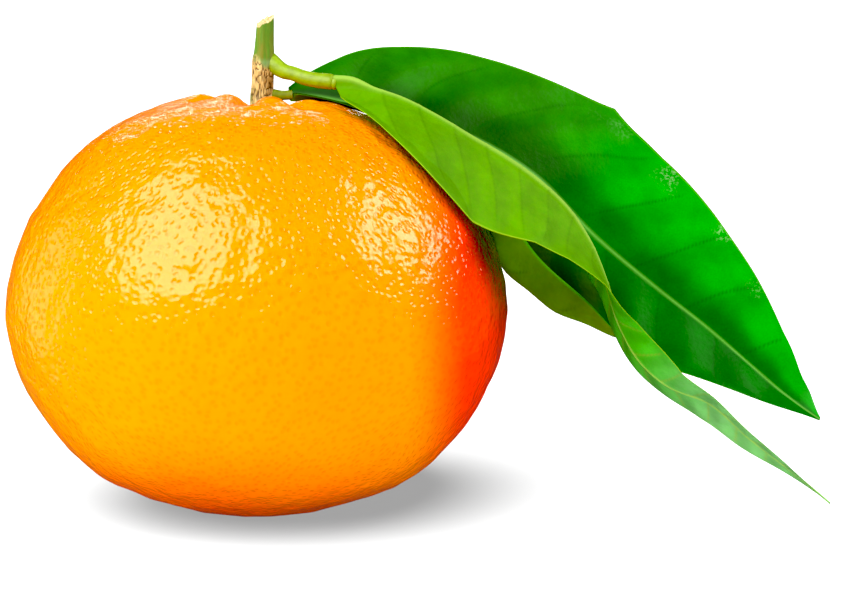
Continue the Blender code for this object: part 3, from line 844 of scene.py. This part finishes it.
def leafSheet(leaf):
    # middle surface of a blade: across each half the direction turns from its first angle by the bend,
    # or by the roll in a narrow band, and the point moves on along that direction
    rows = np.array(leaf["route"], float)
    midrib = midribRoute(leaf, rows)
    stations = np.concatenate([[0.0], np.cumsum(np.linalg.norm(np.diff(midrib, axis=0), axis=1))])
    places = np.linspace(0.0, stations[-1], leafBuild["rows"])
    spine = curveThrough(stations, midrib, places)
    shape = curveThrough(stations, rows[:, 3:], places)
    ahead = unit(np.gradient(spine, axis=0))
    front = unit(np.cross(ahead, up))
    above = np.cross(front, ahead)
    shares = np.linspace(0.0, 1.0, leafBuild["halfColumns"] + 1)
    turnShare = smoothStep(shares, *leaf["rollBand"]) if leaf["rollBand"] else shares
    along = places / stations[-1]

    def half(width, angle, turn, turnPart):
        angles = np.radians(angle[:, None] + turn[:, None] * turnPart[None, :])
        step = np.diff(shares)[None, :]
        sideways, over = np.zeros_like(angles), np.zeros_like(angles)
        sideways[:, 1:] = np.cumsum((np.cos(angles[:, 1:]) + np.cos(angles[:, :-1])) / 2.0 * step, axis=1)
        over[:, 1:] = np.cumsum((np.sin(angles[:, 1:]) + np.sin(angles[:, :-1])) / 2.0 * step, axis=1)
        reach = sideways[..., None] * front[:, None] + over[..., None] * above[:, None]
        realWidth = np.maximum(width, leafBuild["leastWidth"]) * leaf["halfWidth"]
        return spine[:, None] + realWidth[:, None, None] * reach, realWidth

    widthFront, angleFront, turnFront, widthRear, angleRear = shape.T
    if leaf["corner"]:
        # the margin runs nearly straight to a blunt corner, and a little fuller from there to the tip
        cornerPlace, cornerSize = leaf["corner"]
        widthRear = widthRear + cornerSize * np.exp(-np.abs(along - cornerPlace) / leafBuild["cornerFade"])
        widthRear = widthRear - 0.02 * bell(along - cornerPlace + 0.11, 0.07)
        widthRear = widthRear + 0.025 * smoothStep(along, 0.46, 0.53) * smoothStep(1.0 - along, 0.0, 0.12)
        widthRear = widthRear + 0.05 * bell(along - 0.968, 0.026)
    frontHalf, frontWidth = half(widthFront, angleFront, turnFront, turnShare)
    rearHalf, rearWidth = half(widthRear, angleRear, 0.0 * angleRear, shares)
    sheet = np.concatenate([rearHalf[:, ::-1], frontHalf[:, 1:]], axis=1)
    across = np.concatenate([-shares[::-1], shares[1:]])
    fromRib = np.where(across < 0.0, rearWidth[:, None], frontWidth[:, None]) * np.abs(across)[None, :]
    return liftOffFruit(sheet, leaf["lift"]), places, across, fromRib


def makeLeaf(name, leaf, material):
    # both faces of the blade as one closed ring at each station, with rib, veins and puckers
    sheet, places, across, fromRib = leafSheet(leaf)
    normal = unit(np.cross(np.gradient(sheet, axis=1), np.gradient(sheet, axis=0)))
    along = (places / places[-1])[:, None]
    edge = np.abs(across)[None, :]
    # veins lie where the phase is whole
    wander = leafBuild["veinWander"] * softNoise(sheet, leafBuild["veinWanderSize"], leaf["seed"])
    start = np.where(across < 0.0, leaf["veinStart"][0], leaf["veinStart"][1])[None, :]
    swept = leaf["veinSweep"] * fromRib + leafBuild["veinCurve"] * fromRib**2
    phase = (places[:, None] - swept) / leaf["veinSpacing"] + start + wander
    nearVein = np.abs(phase - np.round(phase)) * leaf["veinSpacing"]
    veinFade = smoothStep(along, 0.02, 0.1) * smoothStep(1.0 - along, 0.02, 0.12)
    veinFade = veinFade * smoothStep(1.0 - edge, 0.03, 0.2)
    vein = bell(nearVein, leafBuild["veinWidth"]) * veinFade
    taper = 1.0 - leafBuild["thinning"] * smoothStep(along, 0.15, 1.0)
    rib = bell(fromRib, leafBuild["ribWidth"] * taper)
    ribFoot = 1.0 + leafBuild["ribFoot"] * np.exp(-along / leafBuild["ribFootFade"])
    midBlade = np.sin(math.pi * np.clip(edge, 0.0, 1.0)) ** 0.8 * veinFade
    pucker = (0.5 - 0.5 * np.cos(2.0 * math.pi * phase)) * midBlade
    # painted light and shade of the puckers, brighter before each vein and darker after it
    puckerShade = 0.5 + 0.5 * np.sin(2.0 * math.pi * phase) * midBlade
    glossy = 1.0 if leaf["glossyAbove"] else -1.0
    sheet = sheet + normal * (glossy * leaf["pucker"] * pucker)[..., None]
    body = leafBuild["thickness"] / 2.0 * np.sqrt(np.clip(1.0 - edge**6, 0.0, 1.0)) * taper
    matteRise = body + leafBuild["ribHeight"] * taper * rib * ribFoot + leafBuild["veinHeight"] * vein
    groove = bell(fromRib, leafBuild["grooveWidth"] * taper)
    glossyRise = body - leafBuild["grooveDepth"] * groove * taper - 0.5 * leafBuild["veinHeight"] * vein
    glossyRise = glossyRise + leafBuild["grooveCrest"] * bell(fromRib, leafBuild["grooveCrestWidth"])
    aboveRise, belowRise = (glossyRise, matteRise) if glossy > 0.0 else (matteRise, glossyRise)
    over = sheet + normal * aboveRise[..., None]
    under = sheet - normal * belowRise[..., None]
    rings = np.concatenate([over, under[:, -2:0:-1]], axis=1)

    def bothSides(values, flip=None):
        values = np.broadcast_to(values, sheet.shape[:2])
        back = values if flip is None else np.broadcast_to(flip, sheet.shape[:2])
        return np.concatenate([values, back[:, -2:0:-1]], axis=1)

    ribLine = leafBuild["ribLine"][0] + (leafBuild["ribLine"][1] - leafBuild["ribLine"][0]) * along
    aboveGloss = 1.0 if glossy > 0.0 else 0.0
    attributes = {
        "gloss": bothSides(aboveGloss, 1.0 - aboveGloss),
        "vein": bothSides(vein),
        "rib": bothSides(bell(fromRib, ribLine)),
        "edge": bothSides(edge),
        "along": bothSides(along),
        "across": bothSides(across[None, :]),
        "puckerShade": bothSides(puckerShade),
    }
    return closedSkin(name, rings, material, attributes)


leafLook = dict(
    foldShadeGreen=(0.020, 0.035, 0.003),
    scuffGreen=(0.42, 0.60, 0.32),
    fleckGreen=(0.2, 0.5, 0.05),
    specularTint=(0.8, 1.0, 0.7),
    # across runs from -1 at the rear margin to 1 at the front one, along from 0 at the stalk to 1 at the tip
    nearRibShadeAcross=(-0.05, -0.65),
    foldShadeAcross=(0.1, 0.45),
    foldShadeAlong=(0.69, 0.60),
    scuffEdge=(0.72, 0.96),
    scuffAcross=(-0.2, -0.5),
    marginEdge=(0.972, 0.995),
    # painted light and shade on the puckers: brightness just before and just after a vein, and how much of
    # that the matte face shows
    panelLight=(1.11, 0.84),
    panelMatte=0.25,
    mottleLight=(1.06, 0.82),
    matteRoughness=0.62,
)
leafGreens = dict(
    # base is near the stalk and tip is beyond the spread, in shares of the leaf's length; the change from
    # base to tip is painted light, brighter where more light falls, and the front leaf's paler tip is
    # painted light and sheen
    front=dict(
        glossyBase=(0.050, 0.42, 0.010),
        glossyTip=(0.15, 0.44, 0.12),
        matteBase=(0.098, 0.288, 0.0),
        matteTip=(0.20, 0.58, 0.12),
        spread=(0.62, 0.80),
        nearRibShade=1.0,
        scuff=0.2,
        foldShade=0.0,
        glossyVein=(0.25, 0.34, 0.03),
        matteVein=(0.06, 0.18, 0.0),
        rib=(0.30, 0.50, 0.07),
        margin=(0.34, 0.52, 0.02),
        roughness=0.34,
        gloss=1.3,
    ),
    back=dict(
        glossyBase=(0.018, 0.170, 0.002),
        glossyTip=(0.0, 0.31, 0.0),
        matteBase=(0.110, 0.23, 0.004),
        matteTip=(0.110, 0.23, 0.004),
        spread=(0.36, 0.60),
        nearRibShade=0.47,
        scuff=0.5,
        foldShade=0.85,
        glossyVein=(0.0, 0.09, 0.0),
        matteVein=(0.03, 0.08, 0.003),
        rib=(0.14, 0.42, 0.06),
        margin=(0.07, 0.36, 0.005),
        roughness=0.38,
        gloss=1.18,
    ),
)


def leafFinish(name, greens):
    # glossy upper face and paler matte underside, told apart by the mesh, with veins, rib and margin, and
    # painted light and shade along the leaf, on the puckers, near the midrib and in the fold
    n = Nodes(name)
    look = leafLook
    mottle = n.noise(230.0, 4.0, 0.6)
    fine = n.noise(1300.0, 3.0, 0.6)
    gloss, vein, edge = n.attribute("gloss"), n.attribute("vein"), n.attribute("edge")
    along, across = n.attribute("along"), n.attribute("across")
    # painted light: the colour brightens from the stalk towards the tip, where more light falls
    litFarPart = n.ramp(along, *greens["spread"])
    glossy = n.mix(litFarPart, greens["glossyBase"], greens["glossyTip"])
    # painted shade: the glossy face darkens near the midrib and over the front half, where the front leaf
    # shades the back leaf
    rearShare = n.ramp(across, *look["nearRibShadeAcross"])
    glossy = n.mix(1.0, glossy, n.ramp(rearShare, 0.0, 1.0, greens["nearRibShade"], 1.0), "MULTIPLY")
    glossy = n.mix(n.times(vein, 0.5), glossy, greens["glossyVein"])
    # painted shade inside the back leaf's fold, nearly black
    inFoldShade = n.times(n.ramp(across, *look["foldShadeAcross"]), n.ramp(along, *look["foldShadeAlong"]))
    glossy = n.mix(n.times(inFoldShade, greens["foldShade"]), glossy, look["foldShadeGreen"])
    matte = n.mix(litFarPart, greens["matteBase"], greens["matteTip"])
    matte = n.mix(n.times(vein, 0.45), matte, greens["matteVein"])
    color = n.mix(gloss, matte, glossy)
    # painted light and shade on the puckers, fainter on the matte face
    puckerShade = n.ramp(n.attribute("puckerShade"), 0.0, 1.0, *look["panelLight"])
    color = n.mix(n.ramp(gloss, 0.0, 1.0, look["panelMatte"], 1.0), color, puckerShade, "MULTIPLY")
    scratches = n.ramp(n.noise(2200.0, 4.0, 0.7), 0.46, 0.64)
    patches = n.ramp(n.noise(110.0, 2.0), 0.48, 0.62)
    scuff = n.times(scratches, patches)
    scuff = n.times(scuff, n.ramp(edge, *look["scuffEdge"], 0.0, greens["scuff"]))
    scuff = n.times(scuff, n.times(gloss, litFarPart))
    scuff = n.times(scuff, n.ramp(across, *look["scuffAcross"]))
    color = n.mix(scuff, color, look["scuffGreen"])
    color = n.mix(1.0, color, n.ramp(mottle, 0.3, 0.7, *look["mottleLight"]), "MULTIPLY")
    color = n.mix(n.ramp(fine, 0.4, 0.75, 0.0, 0.25), color, look["fleckGreen"], "SOFT_LIGHT")
    color = n.mix(n.times(n.attribute("rib"), 0.8), color, greens["rib"])
    color = n.mix(n.ramp(edge, *look["marginEdge"], 0.0, 0.8), color, greens["margin"])
    faceRoughness = n.ramp(gloss, 0.0, 1.0, look["matteRoughness"], greens["roughness"])
    rough = n.math("ADD", faceRoughness, n.times(fine, 0.08))
    grain = n.times(n.cells(1500.0), 0.02)
    n.bump(n.math("MULTIPLY_ADD", n.noise(600.0, 3.0, 0.6), 0.06, grain))
    return n.finish(color, Roughness=rough, IOR=greens["gloss"], **{"Specular Tint": look["specularTint"]})


# every piece in place

place(makeFruit(), "fruit")
place(makeCalyx(), "calyx")
place(makeStem(), "stem")
frontStalkGreen = stalkFinish("stalkYellowGreen", frontStalk)
backStalkGreen = stalkFinish("stalkOlive", backStalk)
place(makeStalk("frontStalk", frontStalk, frontStalkGreen), "front_petiole")
place(makeStalk("backStalk", backStalk, backStalkGreen), "back_petiole")
lightGreen = leafFinish("leafLightGreen", leafGreens["front"])
place(makeLeaf("frontBlade", frontLeaf, lightGreen), "front_leaf")
darkGreen = leafFinish("leafDarkGreen", leafGreens["back"])
place(makeLeaf("backBlade", backLeaf, darkGreen), "back_leaf")


# floor, light and camera

studio = dict(
    floorSize=6.0,
    floorColor=(0.012, 0.012, 0.012),
    floorGlow=0.38,
    floorRoughness=0.9,
    # lamp for the floor alone: direction, energy, angle
    floorLamp=((-0.36, -0.50, 1.0), 430.0, 80.0),
    world=(0.37, 0.37, 0.37),
    worldInGloss=0.15,
    # each softbox: name, direction from the fruit, distance, width, height, radiance, colour,
    # and whether it lights the leaves
    lamps=(
        ("keyLeft", (-0.509, -0.502, 0.70), 0.62, 0.69, 0.67, 5.9, (1.0, 0.98, 0.94), True),
        ("fillRight", (0.808, 0.03, 0.590), 0.62, 0.34, 0.40, 7.4, (1.0, 0.98, 0.95), True),
        ("edgeLeft", (-0.93, 0.36, 0.05), 0.62, 0.22, 0.70, 1.1, (1.0, 0.98, 0.95), False),
        ("rimBack", (-0.13, 0.92, 0.40), 0.85, 0.54, 0.030, 11.0, (1.0, 1.0, 1.0), False),
    ),
    aim=(0.0213, 0.0, 0.0282),
    distance=0.45,
    elevation=math.radians(10.0),
    lens=145.6,
    sensor=36.0,
    nearest=0.01,
    blackLevel=0.02,
)


def gather(name, members):
    group = bpy.data.collections.new(name)
    for member in members:
        group.objects.link(member)
    return group


def makeWorld(scene):
    # an even grey, dimmer in reflections than it is as light
    world = bpy.data.worlds.new("studioWorld")
    world.use_nodes = True
    tree = world.node_tree
    background = tree.nodes["Background"]
    background.inputs["Color"].default_value = (*studio["world"], 1.0)
    rays = tree.nodes.new("ShaderNodeLightPath")
    dimmer = tree.nodes.new("ShaderNodeMapRange")
    dimmer.inputs["To Min"].default_value = 1.0
    dimmer.inputs["To Max"].default_value = studio["worldInGloss"]
    tree.links.new(rays.outputs["Is Glossy Ray"], dimmer.inputs["Value"])
    tree.links.new(dimmer.outputs["Result"], background.inputs["Strength"])
    scene.world = world
    scene.view_settings.view_transform = "Standard"
    scene.view_settings.use_curve_mapping = True
    scene.view_settings.curve_mapping.black_level = (studio["blackLevel"],) * 3


def makeFloor(scene):
    half = studio["floorSize"] / 2.0
    mesh = bpy.data.meshes.new("floor")
    corners = [(-half, -half, 0.0), (half, -half, 0.0), (half, half, 0.0), (-half, half, 0.0)]
    mesh.from_pydata(corners, [], [(0, 1, 2, 3)])
    floor = bpy.data.objects.new("floor", mesh)
    scene.collection.objects.link(floor)
    n = Nodes("paleFloor")
    glow = {"Emission Color": (1.0, 1.0, 1.0), "Emission Strength": studio["floorGlow"]}
    glow["Specular IOR Level"] = 0.0
    mesh.materials.append(n.finish(studio["floorColor"], Roughness=studio["floorRoughness"], **glow))
    floor.visible_glossy = False
    return floor


def makeLamps(scene, floor):
    # a broad lamp that only the floor sees, shaded by the fruit and not by the leaves, and the softboxes
    leaves = [piece for piece in pieces if piece.name.endswith("Blade")]
    onFloor = gather("onFloor", [floor])
    onPieces = gather("onPieces", pieces)
    onFruit = gather("onFruit", [piece for piece in pieces if piece not in leaves])
    direction, energy, angle = studio["floorLamp"]
    data = bpy.data.lights.new("floorLamp", "SUN")
    data.energy = energy
    data.angle = math.radians(angle)
    lamp = bpy.data.objects.new("floorLamp", data)
    lamp.light_linking.receiver_collection = onFloor
    lamp.light_linking.blocker_collection = onFruit
    lamp.rotation_euler = Vector(direction).to_track_quat("Z", "Y").to_euler()
    scene.collection.objects.link(lamp)
    for name, direction, distance, width, height, radiance, color, onLeaves in studio["lamps"]:
        data = bpy.data.lights.new(name, "AREA")
        data.shape = "ELLIPSE"
        data.size, data.size_y = width, height
        # power that gives the lamp's face this radiance: radiance times pi times its area
        data.energy = radiance * math.pi * math.pi / 4.0 * width * height
        data.color = color
        lamp = bpy.data.objects.new(name, data)
        lamp.light_linking.receiver_collection = onPieces if onLeaves else onFruit
        way = unit(np.array(direction))
        lamp.location = centre + way * distance
        lamp.rotation_euler = Vector(way).to_track_quat("Z", "Y").to_euler()
        scene.collection.objects.link(lamp)


def makeCamera(scene):
    camera = bpy.data.objects.new("camera", bpy.data.cameras.new("camera"))
    camera.data.lens = studio["lens"]
    camera.data.sensor_width = studio["sensor"]
    camera.data.clip_start = studio["nearest"]
    away = np.array([0.0, -math.cos(studio["elevation"]), math.sin(studio["elevation"])])
    camera.location = np.array(studio["aim"]) + studio["distance"] * away
    camera.rotation_euler = (math.pi / 2.0 - studio["elevation"], 0.0, 0.0)
    scene.collection.objects.link(camera)
    scene.camera = camera


makeWorld(bpy.context.scene)
makeLamps(bpy.context.scene, makeFloor(bpy.context.scene))
makeCamera(bpy.context.scene)
print("studio ready")
